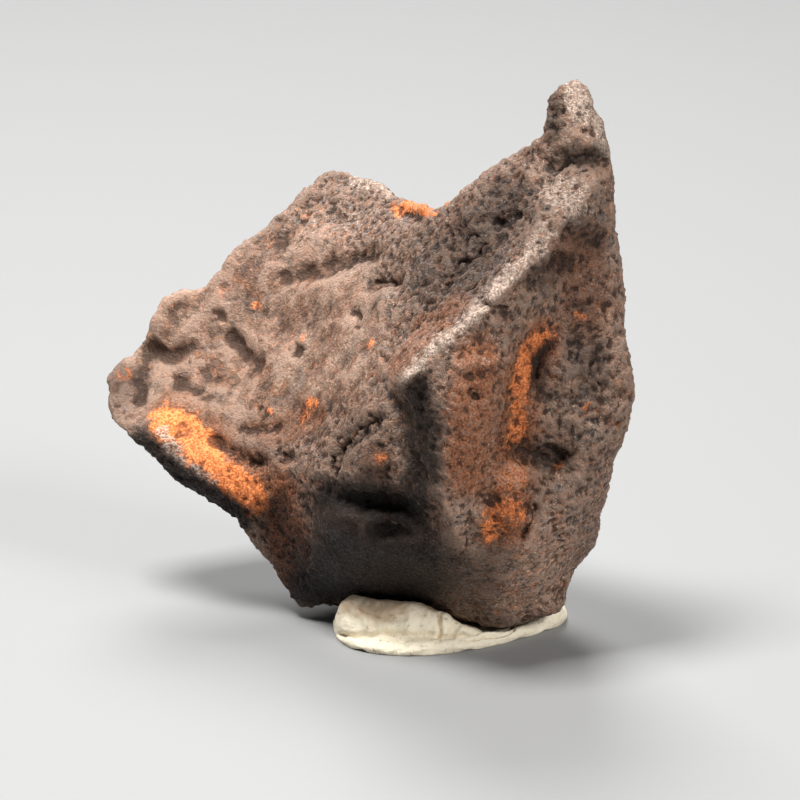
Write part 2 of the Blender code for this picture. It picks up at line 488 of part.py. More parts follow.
def smooth_loop(points, steps):
    """A closed smooth curve through the points, with so many places to each gap."""
    count = len(points)
    loop = []
    for i in range(count):
        before, start, end, after = (Vector(points[(i + k) % count]) for k in (-1, 0, 1, 2))
        for step in range(steps):
            t = step / steps
            bend = (2 * before - 5 * start + 4 * end - after) * t * t
            twist = (3 * start - before - 3 * end + after) * t ** 3
            loop.append(start + ((end - before) * t + bend + twist) / 2)
    return loop


def putty_top(right, away, ring):
    """The height that the putty would have with no stone on it."""
    rim = 0.0
    if ring > PUTTY_RIM_INNER:
        across = (ring - PUTTY_RIM_INNER) / (1.0 - PUTTY_RIM_INNER)
        rim = (PUTTY_RIM - PUTTY_FLOOR) * math.sin(across * math.pi)
    height = PUTTY_FLOOR + rim
    for half_width, lump, path in PUTTY_LUMPS.values():
        distance = distance_to_path(right, away, path) / half_width
        if distance < 1.0:
            height = max(height, lump * math.sqrt(1.0 - distance ** 2.5))
    return height


def make_putty(stone):
    """A pressed dab with a flat underside, kept clear of the stone that sits in it."""
    graph = bpy.context.evaluated_depsgraph_get()
    stone_surface = BVHTree.FromObject(stone, graph)
    loop = smooth_loop(PUTTY_OUTLINE, PUTTY_STEPS)
    count = len(loop)
    vertices = []
    for level, ring in enumerate(PUTTY_RINGS):
        for point in loop:
            right, away = point * ring
            height = 0.0
            if level == 1:
                height = PUTTY_EDGE
            elif level > 1:
                below = Vector((right, away, 0.0)) * MM
                hit = stone_surface.ray_cast(below, Vector((0.0, 0.0, 1.0)))[0]
                height = putty_top(right, away, ring)
                if hit is not None:
                    height = min(height, hit.z / MM - PUTTY_GAP)
            vertices.append(Vector((right, away, height)) * MM)
    faces = [tuple(reversed(range(count)))]
    for level in range(len(PUTTY_RINGS) - 1):
        for i in range(count):
            j = (i + 1) % count
            low = level * count
            high = low + count
            faces.append((low + i, low + j, high + j, high + i))
    inner = (len(PUTTY_RINGS) - 1) * count
    vertices.append(Vector((0.0, 0.0, PUTTY_FLOOR)) * MM)
    for i in range(count):
        faces.append((inner + i, inner + (i + 1) % count, len(vertices) - 1))
    mesh = bpy.data.meshes.new("putty")
    mesh.from_pydata(vertices, [], faces)
    mesh.shade_smooth()
    mesh.materials.append(principled("putty", (0.72, 0.66, 0.55), 0.7, 0.0))
    putty = bpy.data.objects.new("putty", mesh)
    bpy.context.scene.collection.objects.link(putty)
    return putty


def main():
    clear_scene()
    stone = make_meteorite()
    bpy.context.view_layer.update()
    make_putty(stone)


main()
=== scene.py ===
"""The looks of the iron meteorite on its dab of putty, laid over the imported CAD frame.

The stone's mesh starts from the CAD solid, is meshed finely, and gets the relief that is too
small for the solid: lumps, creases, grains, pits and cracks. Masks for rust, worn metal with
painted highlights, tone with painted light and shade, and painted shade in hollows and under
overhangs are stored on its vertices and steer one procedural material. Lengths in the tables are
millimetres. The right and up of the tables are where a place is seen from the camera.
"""
import itertools
import math
import bpy
import numpy as np
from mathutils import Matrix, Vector


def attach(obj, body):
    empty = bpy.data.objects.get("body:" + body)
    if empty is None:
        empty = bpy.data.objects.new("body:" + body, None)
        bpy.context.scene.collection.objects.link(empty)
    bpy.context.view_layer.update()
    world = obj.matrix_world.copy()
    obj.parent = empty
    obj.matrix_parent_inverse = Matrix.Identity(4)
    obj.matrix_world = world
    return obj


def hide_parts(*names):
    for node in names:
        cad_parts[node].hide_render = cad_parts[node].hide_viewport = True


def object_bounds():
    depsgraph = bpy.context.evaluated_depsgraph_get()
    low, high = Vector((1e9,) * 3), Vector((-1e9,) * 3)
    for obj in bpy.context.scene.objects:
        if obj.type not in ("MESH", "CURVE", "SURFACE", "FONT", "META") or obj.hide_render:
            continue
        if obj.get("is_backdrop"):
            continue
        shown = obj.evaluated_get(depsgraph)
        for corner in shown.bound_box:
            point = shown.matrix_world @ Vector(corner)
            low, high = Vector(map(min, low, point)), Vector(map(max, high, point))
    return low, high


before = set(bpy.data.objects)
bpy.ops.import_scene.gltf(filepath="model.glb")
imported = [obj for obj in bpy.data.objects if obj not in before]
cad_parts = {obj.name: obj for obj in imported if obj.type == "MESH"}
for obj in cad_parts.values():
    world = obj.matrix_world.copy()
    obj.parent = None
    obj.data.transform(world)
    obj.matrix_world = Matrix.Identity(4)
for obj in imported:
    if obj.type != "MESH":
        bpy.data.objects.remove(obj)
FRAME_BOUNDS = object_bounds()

MM = 0.001

# The camera's viewpoint, and where the part's origin lies in its floor frame.
VIEW_TILT = math.radians(15.0)
VIEW_DISTANCE = 166.7
VIEW_CENTRE_RIGHT = -2.5
VIEW_CENTRE_UP = 14.15
FOOT_RIGHT = 0.2
FOOT_AWAY = 9.8
CAMERA_LENS = 150.0
CAMERA_SENSOR = 36.0

# The stone's mesh.
WELD_GAP = 0.002
VOXEL = 0.1
STONE_TRIANGLES = 190000

# Thin cracks: half width, depth and where they run: right, up.
CRACKS = {
    "left_crack": (
        0.15, 0.4, [(-3.65, 13.1), (-4.3, 12.7), (-4.85, 12.1), (-5.5, 11.5), (-5.8, 10.65)]
    ),
    "shelf_crack": (0.13, 0.3, [(-1.9, 9.1), (-1.5, 8.8), (-1.2, 8.3)]),
    "arc": (0.18, 0.3, [(-3.8, 19.9), (-3.2, 20.2), (-2.6, 20.0)]),
    "arc_below": (0.15, 0.2, [(-2.5, 19.2), (-1.5, 19.5)]),
    "ledge_line": (0.15, 0.12, [(-4.9, 15.0), (-4.0, 15.1), (-3.2, 15.3)]),
    "channel_a": (0.12, 0.3, [(-0.6, 19.6), (0.1, 20.3), (0.3, 21.0), (1.2, 21.4), (2.0, 22.0)]),
    "channel_b": (0.12, 0.25, [(0.15, 21.9), (0.2, 21.2)]),
    "channel_c": (0.12, 0.25, [(1.15, 20.6), (1.5, 20.8)]),
    "channel_d": (0.12, 0.25, [(1.8, 20.2), (2.2, 20.4)]),
    "channel_e": (0.12, 0.25, [(1.0, 19.5), (1.3, 19.7)]),
    "horn_crack": (0.12, 0.15, [(5.7, 28.95), (5.6, 28.3)]),
    "horn_low_a": (0.13, 0.25, [(5.3, 25.4), (5.6, 25.7), (6.3, 26.1)]),
    "horn_low_b": (0.13, 0.2, [(5.7, 25.3), (6.2, 25.4), (6.8, 25.7)]),
    "crest_seam": (0.16, 0.2, [(1.9, 19.0), (2.8, 18.5)]),
    "nose_band": (0.2, 0.2, [(1.0, 15.3), (2.5, 15.6)]),
    "slab_a": (0.14, 0.25, [(6.4, 17.3), (6.1, 16.3)]),
    "slab_b": (0.14, 0.25, [(7.1, 15.9), (7.4, 15.0)]),
    "slab_c": (0.13, 0.2, [(5.0, 14.0), (5.0, 13.2)]),
    "slab_d": (0.13, 0.2, [(7.8, 18.9), (7.9, 18.0)]),
    "nodule_edge": (0.18, 0.3, [(4.1, 8.8), (4.0, 8.0), (3.7, 7.3)]),
    "nodule_waist": (0.18, 0.25, [(1.5, 9.3), (2.3, 9.1)]),
    "tan_crack": (0.14, 0.25, [(0.85, 8.5), (0.75, 7.5), (0.7, 6.6)]),
    "belly_fold": (0.3, 0.25, [(-7.1, 9.3), (-7.0, 7.5), (-7.1, 5.5)]),
    "rust_under": (0.25, 0.2, [(-14.5, 11.8), (-13.8, 10.6), (-12.3, 9.8), (-11.0, 9.2), (-9.4, 8.0)]),
}

# Soft folds on the wing, in the same manner.
FOLDS = {
    "seam_under_peak": (0.7, 0.2, [(-8.3, 20.3), (-6.8, 20.7), (-5.4, 21.2), (-4.0, 21.6)]),
    "peak_line": (0.5, 0.1, [(-8.5, 21.5), (-7.5, 22.0)]),
    "tip_crease": (0.6, 0.2, [(-15.3, 16.3), (-15.6, 15.2), (-15.6, 14.2)]),
    "knob_crease": (0.6, 0.2, [(-15.0, 16.7), (-13.9, 16.3)]),
    "wing_a": (0.6, 0.15, [(-10.9, 17.2), (-10.4, 16.5), (-9.8, 16.0)]),
    "wing_b": (0.55, 0.12, [(-12.1, 15.4), (-11.1, 15.0)]),
    "wing_c": (0.55, 0.12, [(-13.4, 15.0), (-12.2, 14.4)]),
    "wing_d": (0.55, 0.15, [(-7.6, 13.7), (-5.8, 13.7)]),
    "wing_e": (0.55, 0.15, [(-10.0, 12.8), (-8.8, 12.9)]),
    "wing_f": (0.5, 0.15, [(-11.8, 12.0), (-10.5, 11.3)]),
}

# Round pits and knobs: radius, height, and where: right, up.
SPOTS = {
    "pit_wing_a": (0.55, -0.35, (-11.5, 18.3)),
    "pit_wing_b": (0.5, -0.3, (-7.6, 16.5)),
    "pit_wing_c": (0.5, -0.35, (-9.2, 13.6)),
    "pit_wing_d": (0.45, -0.35, (-9.8, 11.0)),
    "pit_wing_e": (0.5, -0.4, (-8.1, 11.3)),
    "pit_twin_a": (0.35, -0.3, (-4.7, 18.5)),
    "pit_twin_b": (0.3, -0.3, (-4.6, 17.9)),
    "pit_band": (0.3, -0.25, (-3.3, 16.4)),
    "bump_arc": (0.6, 0.15, (-3.2, 19.5)),
    "pit_channel_a": (0.35, -0.3, (2.6, 23.0)),
    "pit_channel_b": (0.35, -0.3, (3.4, 23.3)),
    "pit_channel_c": (0.25, -0.25, (3.0, 22.7)),
    "pit_channel_d": (0.3, -0.25, (2.5, 22.2)),
    "horn_bump_a": (0.25, 0.12, (4.9, 28.2)),
    "horn_bump_b": (0.25, 0.12, (4.85, 27.5)),
    "crest_knob_a": (0.4, 0.15, (3.3, 20.7)),
    "crest_knob_b": (0.5, 0.2, (2.2, 19.4)),
    "crest_knob_c": (0.5, 0.15, (1.2, 18.4)),
    "pit_nose_a": (0.35, -0.35, (1.3, 14.4)),
    "pit_nose_b": (0.3, -0.3, (2.7, 16.4)),
    "pit_nose_c": (0.25, -0.25, (3.1, 15.5)),
    "pit_nose_d": (0.25, -0.25, (2.9, 14.4)),
    "nodule_knob": (0.35, 0.2, (2.7, 11.1)),
    "nodule_left": (0.5, 0.15, (1.6, 8.0)),
    "nodule_right": (0.9, 0.15, (2.9, 8.2)),
    "black_hollow": (0.8, -0.3, (-2.9, 7.8)),
}

# Patches of rust, of worn metal with painted highlights, and of painted shade: half width, strength,
# and where they run: right, up.
RUST_BRIGHT = {
    "wing_patch_top": (1.15, 1.0, [(-14.2, 13.0), (-13.2, 12.6), (-12.5, 11.8)]),
    "wing_patch_low": (0.9, 1.0, [(-12.5, 11.8), (-11.5, 10.6), (-10.5, 9.8), (-9.7, 9.1)]),
    "wing_dot_a": (0.35, 0.6, [(-9.7, 18.8)]),
    "wing_dot_b": (0.35, 0.5, [(-7.4, 17.2)]),
    "wing_dot_c": (0.4, 0.5, [(-7.3, 13.2), (-6.9, 14.0)]),
    "wing_dot_d": (0.4, 0.5, [(-9.2, 13.6)]),
    "wing_dot_e": (0.3, 0.4, [(-4.0, 16.8)]),
    "tip": (0.5, 0.5, [(-16.2, 15.4)]),
    "notch": (0.5, 0.8, [(-2.5, 23.5), (-1.7, 23.9), (-1.0, 23.9)]),
    "notch_bit": (0.25, 0.7, [(-0.2, 24.0)]),
    "vein": (0.6, 0.75, [(4.3, 17.0), (3.7, 16.2), (3.5, 15.0), (3.4, 13.6), (3.3, 12.2)]),
    "vein_up": (0.35, 0.5, [(5.2, 17.2), (4.6, 17.3)]),
    "nodule": (1.0, 0.6, [(2.9, 8.6), (2.0, 7.8)]),
    "nodule_dot": (0.35, 0.9, [(3.5, 8.4)]),
    "nodule_low": (0.4, 0.9, [(2.2, 7.3), (1.9, 7.8)]),
    "slab_dot_a": (0.25, 0.7, [(6.7, 13.85)]),
    "slab_dot_b": (0.3, 0.7, [(5.4, 10.8)]),
    "slab_dot_c": (0.3, 0.6, [(6.5, 18.3)]),
    "shelf_dot": (0.4, 0.6, [(-3.5, 11.1)]),
    "hollow_dot": (0.25, 0.7, [(-3.2, 8.4)]),
}
RUST_BROWN = {
    "left_side": (1.3, 1.0, [(-8.6, 9.6), (-8.2, 7.5), (-7.8, 5.5)]),
    "wing_patch_rim": (1.9, 0.8, [(-13.6, 12.8), (-11.8, 11.0), (-9.8, 9.8)]),
    "channel_band": (0.7, 0.6, [(-2.6, 16.0), (-1.2, 17.6), (0.4, 19.0)]),
    "vein_wide": (1.3, 0.9, [(4.6, 17.2), (3.6, 15.2), (3.3, 12.6), (3.0, 10.4)]),
    "nodule_wide": (1.6, 0.9, [(2.9, 9.6), (2.7, 8.0)]),
    "nose_right": (1.5, 0.8, [(1.4, 16.2), (1.0, 13.5), (0.9, 10.5)]),
    "right_of_ridge": (1.6, 0.5, [(6.5, 21.5), (6.8, 18.5)]),
    "knob_shelf": (1.0, 0.5, [(-3.6, 11.2)]),
    "wing_low": (1.0, 0.4, [(-9.0, 12.5), (-7.0, 13.5)]),
}
# Worn crests rubbed to metal, and painted highlights on the lit facet, horn rim and peak rim.
WORN_AND_HIGHLIT = {
    "crest_low": (0.5, 1.0, [(-2.3, 15.1), (-1.4, 16.1), (-0.3, 17.2)]),
    "crest_streak": (0.35, 0.9, [(-0.5, 17.1), (0.3, 17.6), (1.2, 18.4)]),
    "crest_middle": (0.55, 0.9, [(1.2, 18.4), (2.2, 19.4), (3.3, 20.7)]),
    "crest_upper": (0.7, 0.6, [(4.0, 21.2), (4.9, 22.5)]),
    "facet": (1.2, 0.7, [(5.4, 24.6), (6.2, 23.8)]),
    "horn_tip": (0.9, 0.8, [(6.2, 29.4), (6.6, 28.6)]),
    "horn_right": (0.45, 1.0, [(6.9, 29.2), (7.5, 27.5), (7.9, 26.5)]),
    "peak_rim": (0.5, 0.7, [(-4.6, 25.2), (-3.1, 24.6)]),
    "peak": (0.6, 0.4, [(-5.0, 23.4)]),
    "rust_edge": (0.45, 0.6, [(-14.5, 12.6), (-13.5, 11.0), (-12.0, 10.0)]),
    "nose_crease": (0.3, 0.3, [(0.5, 15.9), (2.8, 16.2)]),
}
# Painted shade under the nose, horn and wing, on the shelf and belly, and in recesses.
SHADED_PLACES = {
    "under_nose": (1.1, 1.0, [(-1.6, 14.4), (-1.4, 12.5), (-1.4, 10.5)]),
    "shelf": (1.4, 1.0, [(-6.0, 8.6), (-4.0, 8.6), (-2.0, 8.2)]),
    "belly": (3.2, 0.8, [(-5.0, 5.6), (-2.0, 5.6)]),
    "hollow": (0.9, 1.0, [(-3.8, 7.6), (-2.0, 7.9)]),
    "horn_under": (0.5, 0.8, [(5.9, 26.3), (7.5, 26.4)]),
    "ridge_right_a": (0.8, 0.6, [(5.5, 21.0), (4.4, 20.2)]),
    "ridge_right_b": (0.9, 0.3, [(6.3, 22.5), (7.3, 22.2)]),
    "vein_cavity": (0.6, 0.85, [(4.4, 14.9), (4.7, 16.5)]),
    "slab_upper": (1.1, 0.5, [(6.5, 18.4), (7.2, 15.4)]),
    "slab_low": (0.8, 0.6, [(3.4, 11.6), (5.4, 11.3)]),
    "foot": (1.2, 0.4, [(0.5, 5.0), (2.5, 6.2)]),
    "wing_under": (0.7, 0.8, [(-15.4, 12.1), (-14.2, 10.8), (-12.2, 9.4), (-10.4, 8.2)]),
    "slab_spot": (0.4, 0.6, [(7.3, 16.2)]),
    "slab_spot_low": (0.5, 0.5, [(4.8, 14.3)]),
}

# Folds pressed into the putty: half width, depth, and where they run: right, up.
PUTTY_FOLDS = {
    "slit": (0.22, 0.3, [(-5.6, 2.35), (-3.0, 2.45), (-0.6, 2.35), (1.4, 2.3), (3.0, 2.6)]),
    "flap_end": (0.18, 0.4, [(-0.5, 2.4), (-0.5, 3.6)]),
    "flap_crease": (0.15, 0.15, [(-4.6, 3.6), (-3.4, 3.1), (-2.2, 3.2)]),
    "rim_dent": (0.3, 0.12, [(-2.6, 1.4), (-2.2, 2.1)]),
}

# How light or dark the crust is painted in broad areas, partly its own tone and partly painted
# light on lit fronts and painted shade on undersides and left-facing sides: half width, factor,
# and where they run.
TONE_LIGHT_AND_SHADE = {
    "wing": (6.5, 1.7, [(-13.0, 17.5), (-8.0, 18.5), (-8.5, 15.5)]),
    "wing_low": (2.6, 0.72, [(-8.5, 12.4), (-5.5, 12.4)]),
    "tip": (1.6, 0.58, [(-16.3, 15.0)]),
    "peak": (2.5, 1.15, [(-6.5, 23.5), (-4.5, 23.5)]),
    "knob": (1.6, 1.3, [(-13.8, 18.6)]),
    "rust": (1.6, 1.2, [(-13.5, 12.7), (-10.2, 9.6)]),
    "vein": (0.9, 0.8, [(4.4, 17.0), (3.5, 14.5), (3.3, 12.4)]),
    "channel": (2.3, 0.48, [(3.0, 24.0), (1.0, 21.5), (-0.8, 20.3)]),
    "flank": (1.2, 0.7, [(2.2, 21.2), (0.8, 19.6)]),
    "horn_left": (0.8, 0.55, [(5.1, 29.0), (5.1, 27.4)]),
    "horn_front": (0.9, 1.15, [(6.4, 28.8), (6.5, 27.2)]),
    "facet": (1.5, 0.88, [(5.6, 24.4), (5.2, 22.6)]),
    "right_up": (1.8, 0.62, [(6.9, 22.5), (6.9, 19.6)]),
    "right_middle": (1.8, 0.75, [(6.6, 16.5), (6.4, 14.5)]),
    "right_low": (2.0, 1.0, [(6.0, 10.5), (6.0, 9.0)]),
    "nose": (2.2, 1.15, [(1.2, 16.3), (0.6, 13.0), (0.4, 9.5)]),
    "nose_low": (0.9, 1.3, [(0.2, 8.6), (0.4, 7.2)]),
    "nodule_top": (1.2, 1.9, [(3.0, 10.2)]),
    "nodule": (1.4, 0.65, [(2.8, 8.2)]),
    "foot": (2.2, 1.5, [(4.6, 7.0), (3.8, 4.6)]),
    "knob_shelf": (1.3, 0.55, [(-3.6, 11.2)]),
    "shelf": (1.5, 0.3, [(-5.5, 9.4), (-2.0, 9.2)]),
    "left_side": (1.5, 0.45, [(-8.8, 8.5), (-7.8, 5.0)]),
    "wing_under": (1.1, 0.22, [(-15.6, 12.0), (-14.2, 10.8), (-12.2, 9.4), (-10.4, 8.2)]),
    "corner": (1.5, 0.3, [(-7.4, 4.6), (-6.0, 4.6)]),
    "underside": (3.4, 0.3, [(-6.0, 5.8), (-2.0, 5.4)]),
}

# Broad areas with a relief of their own: where they run.
BELLY = [(-5.5, 6.3), (-1.5, 6.0), (2.5, 5.2)]
WING = [(-13.0, 16.5), (-8.0, 17.5)]
CHANNEL = [(-1.0, 19.0), (3.0, 24.0)]
SLAB = [(5.5, 14.0), (5.8, 9.5)]
SLAB_TURN = math.radians(-38.0)

# Relief that runs all over: size of its lumps, height and the noise's seed.
LUMPS = ((1.9, 0.10, 4), (0.95, 0.08, 5))
WRINKLES = ((0.6, 0.10, 7),)
GRAINS = ((0.36, 0.06, 8), (0.2, 0.04, 18))
CRUMBS = ((0.5, 0.2, 54), (0.27, 0.08, 55))
PUTTY_LUMPS = ((1.3, 0.12, 41), (0.55, 0.07, 42), (0.28, 0.03, 45))

# Colours, as linear red, green and blue.
COLOURS = {
    "red_brown": (0.150, 0.080, 0.050),
    "grey_brown": (0.155, 0.100, 0.071),
    "tan": (0.25, 0.158, 0.112),
    "deep_brown": (0.075, 0.042, 0.030),
    "rust_dust": (0.24, 0.095, 0.040),
    "slate_scale": (0.115, 0.100, 0.092),
    "pink_scale": (0.30, 0.165, 0.115),
    "orange_fleck": (0.36, 0.13, 0.045),
    "black_fleck": (0.035, 0.022, 0.017),
    "pale_grain": (0.50, 0.34, 0.25),
    "raised": (0.31, 0.205, 0.15),
    "brown_rust_dark": (0.09, 0.026, 0.010),
    "brown_rust_light": (0.32, 0.105, 0.036),
    "orange_rust_dark": (0.46, 0.11, 0.027),
    "orange_rust_light": (0.98, 0.31, 0.10),
    # Bare metal, laid on worn crests and as painted highlights on lit rims.
    "metal_dark": (0.20, 0.135, 0.10),
    "metal_light": (0.54, 0.42, 0.34),
    # Painted shade, for small hollows, wide hollows and the shaded places under overhangs.
    "small_hollow_shade": (0.028, 0.014, 0.009),
    "wide_hollow_shade": (0.035, 0.019, 0.012),
    "under_shade": (0.014, 0.0075, 0.0045),
    # A painted highlight, for the glints.
    "painted_glint": (0.55, 0.46, 0.38),
    "putty": (0.84, 0.75, 0.57),
    "putty_stain": (0.50, 0.335, 0.20),
    "putty_dirt": (0.25, 0.145, 0.08),
    "floor": (0.26, 0.26, 0.257),
    "sky": (0.9, 0.93, 1.0),
}

# Studio: each light's direction from the stone, its size in m and its energy.
LIGHTS = {
    "top_left": ((-0.3, -0.12, 1.0), 0.2, 6.4),
    "back": ((-0.1, 1.0, 1.1), 0.27, 3.3),
    "right": ((0.8, -0.75, 0.7), 0.2, 2.8),
}
LIGHT_DISTANCE = 0.6
LIT_MIDDLE = (-2.7, 0.0, 13.0)
SKY_STRENGTH = 0.06
FLOOR_HALF = 1.5


def to_view(points):
    """Where points in mm are seen from the camera: right, up."""
    across = points[:, 0] + FOOT_RIGHT
    away = points[:, 1] + FOOT_AWAY
    rise = away * math.sin(VIEW_TILT) + points[:, 2] * math.cos(VIEW_TILT)
    towards = points[:, 2] * math.sin(VIEW_TILT) - away * math.cos(VIEW_TILT)
    spread = 1.0 - towards / VIEW_DISTANCE
    right = VIEW_CENTRE_RIGHT + (across - VIEW_CENTRE_RIGHT) / spread
    up = VIEW_CENTRE_UP + (rise - VIEW_CENTRE_UP) / spread
    return np.stack([right, up], axis=1)


def lattice_bits(cells, seed):
    """A repeatable random whole number for each lattice cell, by mixing with large odd numbers."""
    value = cells[:, 0] * 374761393 + cells[:, 1] * 668265263 + cells[:, 2] * 1442695041
    value += seed * 974711
    value &= 0xFFFFFFFF
    value = ((value ^ (value >> 13)) * 1274126177) & 0xFFFFFFFF
    value = ((value ^ (value >> 15)) * 2246822519) & 0xFFFFFFFF
    return value ^ (value >> 16)


def noise(points, size, seed):
    """Smooth gradient noise of about -1 to 1, with lumps of the given size."""
    place = points / size
    cell = np.floor(place).astype(np.int64)
    part = place - cell
    fade = part ** 3 * (part * (part * 6 - 15) + 10)
    total = np.zeros(len(points))
    for corner in itertools.product((0, 1), repeat=3):
        bits = lattice_bits(cell + np.array(corner), seed)
        slope = np.stack([(bits >> shift) & 1023 for shift in (0, 10, 20)], axis=1) / 511.5 - 1.0
        share = np.prod(np.where(corner, fade, 1.0 - fade), axis=1)
        total += ((part - corner) * slope).sum(axis=1) * share
    return total * 1.3


def drift(points, size, seeds, reach):
    """A smooth random push of each point, with one seed for each direction."""
    return np.stack([noise(points, size, seed) for seed in seeds], axis=1) * reach


def layered(points, table):
    """The sum of a table's noises, in mm."""
    return sum(noise(points, size, seed) * height for size, height, seed in table)


def wrinkled(points, table, crest):
    """The sum of a table's noises folded into sharp ridges, in mm."""
    return sum((crest - np.abs(noise(points, size, seed))) * height for size, height, seed in table)


def scattered(points, size, seed):
    """Distance to the nearest scattered point in units of size, and a random 0 to 1 of it."""
    place = points / size
    cell = np.floor(place).astype(np.int64)
    nearest = np.full(len(points), np.inf)
    mark = np.zeros(len(points))
    for offset in itertools.product((-1, 0, 1), repeat=3):
        other = cell + np.array(offset)
        bits = lattice_bits(other, seed)
        spot = np.stack([(bits >> shift) & 1023 for shift in (0, 10, 20)], axis=1) / 1023.0
        distance = np.linalg.norm(other + spot - place, axis=1)
        closer = distance < nearest
        nearest = np.where(closer, distance, nearest)
        mark = np.where(closer, (bits & 255) / 255.0, mark)
    return nearest, mark


def path_distance(seen, path):
    """How far each seen place is from a path of straight runs, or from its one point."""
    runs = list(zip(path, path[1:])) or [(path[0], path[0])]
    nearest = np.full(len(seen), np.inf)
    for start, end in runs:
        start = np.array(start)
        run = np.array(end) - start
        length = max(run @ run, 1e-9)
        along = np.clip((seen - start) @ run / length, 0.0, 1.0)
        gap = np.linalg.norm(seen - start - along[:, None] * run, axis=1)
        nearest = np.minimum(nearest, gap)
    return nearest


def smooth_step(value, low, high):
    """0 below low, 1 above high, and a smooth rise between."""
    t = np.clip((value - low) / (high - low), 0.0, 1.0)
    return t * t * (3.0 - 2.0 * t)


def within(seen, path, inner, outer):
    """1 up to the inner distance from a path, fading to 0 at the outer one."""
    return smooth_step(-path_distance(seen, path), -outer, -inner)


def patches(seen, table):
    """The strongest of a table's patches at each seen place, each fading to its edge."""
    total = np.zeros(len(seen))
    for half_width, strength, path in table.values():
        fade = 1.0 - path_distance(seen, path) / half_width
        total = np.maximum(total, strength * smooth_step(fade, -0.15, 0.6))
    return total


def tone_light_and_shade(seen):
    """The product of the broad areas' factors at each seen place."""
    total = np.ones(len(seen))
    for half_width, factor, path in TONE_LIGHT_AND_SHADE.values():
        fade = smooth_step(1.0 - path_distance(seen, path) / half_width, 0.0, 0.7)
        total *= 1.0 + (factor - 1.0) * fade
    return total


def read_mesh(mesh):
    """A mesh's points and normals."""
    count = len(mesh.vertices)
    points = np.empty(count * 3)
    normals = np.empty(count * 3)
    mesh.vertices.foreach_get("co", points)
    mesh.vertices.foreach_get("normal", normals)
    return points.reshape(-1, 3), normals.reshape(-1, 3)


def write_points(mesh, points):
    mesh.vertices.foreach_set("co", points.ravel())
    mesh.update()


def raise_points(mesh, height_of):
    """Moves each vertex along its normal by the height that a function gives it."""
    points, normals = read_mesh(mesh)
    write_points(mesh, points + normals * height_of(points, normals)[:, None])


def with_modifier(mesh, kind, **settings):
    """The mesh after one modifier."""
    holder = bpy.data.objects.new("holder", mesh)
    bpy.context.scene.collection.objects.link(holder)
    modifier = holder.modifiers.new(kind.title(), kind)
    for name, value in settings.items():
        setattr(modifier, name, value)
    bpy.context.view_layer.update()
    finished = holder.evaluated_get(bpy.context.evaluated_depsgraph_get())
    result = bpy.data.meshes.new_from_object(finished)
    bpy.data.objects.remove(holder, do_unlink=True)
    return result


def neighbour_mean(values, edges, count):
    """Each vertex's mean over its neighbours."""
    ends = np.concatenate([edges[:, 0], edges[:, 1]])
    others = np.concatenate([edges[:, 1], edges[:, 0]])
    number = np.maximum(np.bincount(ends, minlength=count), 1)
    sums = [
        np.bincount(ends, weights=values[others, axis], minlength=count)
        for axis in range(values.shape[1])
    ]
    return np.stack([total / number for total in sums], axis=1)


def hollowness(mesh, rounds):
    """How far each vertex lies below the surface smoothed so many times, in mm."""
    points, normals = read_mesh(mesh)
    edges = np.empty(len(mesh.edges) * 2, dtype=np.int32)
    mesh.edges.foreach_get("vertices", edges)
    edges = edges.reshape(-1, 2)
    smoothed = points
    for _ in range(rounds):
        smoothed = neighbour_mean(smoothed, edges, len(points))
    return ((smoothed - points) * normals).sum(axis=1)


def front_share(normals):
    """1 where a surface faces the camera, down to 0 where it faces away."""
    viewer = np.array([0.0, -math.cos(VIEW_TILT), math.sin(VIEW_TILT)])
    return smooth_step(normals @ viewer, 0.0, 0.3)


def forms(points, normals):
    """The named cracks, folds, pits and knobs, in mm of height, with ragged edges."""
    smooth_seen = to_view(points) + drift(points, 1.3, (11, 12), 0.4)
    seen = smooth_seen + drift(points, 0.35, (13, 14), 0.12)
    broken = smooth_step(noise(points, 0.6, 15) + 0.5 * noise(points, 0.25, 16), -0.5, 0.35)
    height = np.zeros(len(points))
    for half_width, depth, path in CRACKS.values():
        near = 1.0 - path_distance(seen, path) / (half_width * (0.45 + 0.9 * broken))
        height -= depth * (0.15 + 0.65 * broken) * np.clip(near, 0.0, 1.0) ** 1.3
    for half_width, depth, path in FOLDS.values():
        gap = path_distance(smooth_seen, path) / (1.5 * half_width)
        height -= depth * (0.75 + 0.25 * broken) * np.clip(1.0 - gap ** 2, 0.0, 1.0) ** 2
    for radius, lift, place in SPOTS.values():
        gap = path_distance(seen, [place]) / (radius * (0.6 + 0.6 * broken))
        height += 0.6 * lift * np.clip(1.0 - gap ** 2, 0.0, 1.0) ** 1.5
    return height * front_share(normals)


def sunken(points, bent, channel):
    """Thin creases and round pits, in mm of depth; deeper in the channel."""
    creases = np.exp(-((noise(bent, 1.9, 6) / 0.05) ** 2))
    creases *= (0.03 + 0.08 * channel) * smooth_step(noise(points, 2.5, 19), 0.0, 0.4)
    distance, mark = scattered(bent, 0.7, 9)
    pits = np.clip(1.0 - (distance / 0.32) ** 2, 0.0, 1.0) * (mark > 0.75 - 0.3 * channel)
    return creases + pits * (0.05 + 0.09 * channel)


def relief(points, normals):
    """Lumps, grains and pits all over, in mm of height; calmer on the belly and the wing."""
    seen = to_view(points)
    front = front_share(normals)
    belly = front * within(seen, BELLY, 1.4, 2.6)
    wing = front * within(seen, WING, 3.5, 6.0)
    channel = front * within(seen, CHANNEL, 1.0, 2.6)
    bent = points + drift(points, 1.3, (1, 2, 3), 0.4)
    crumpled = points + drift(points, 0.4, (51, 52, 53), 0.12)
    fine = wrinkled(bent, WRINKLES, 0.3) + layered(points, GRAINS)
    fine += wrinkled(crumpled, CRUMBS, 0.28) * (1.0 - wing)
    fine -= sunken(points, bent, channel)
    return (layered(bent, LUMPS) + fine * (1.0 - 0.45 * wing)) * (1.0 - 0.6 * belly)


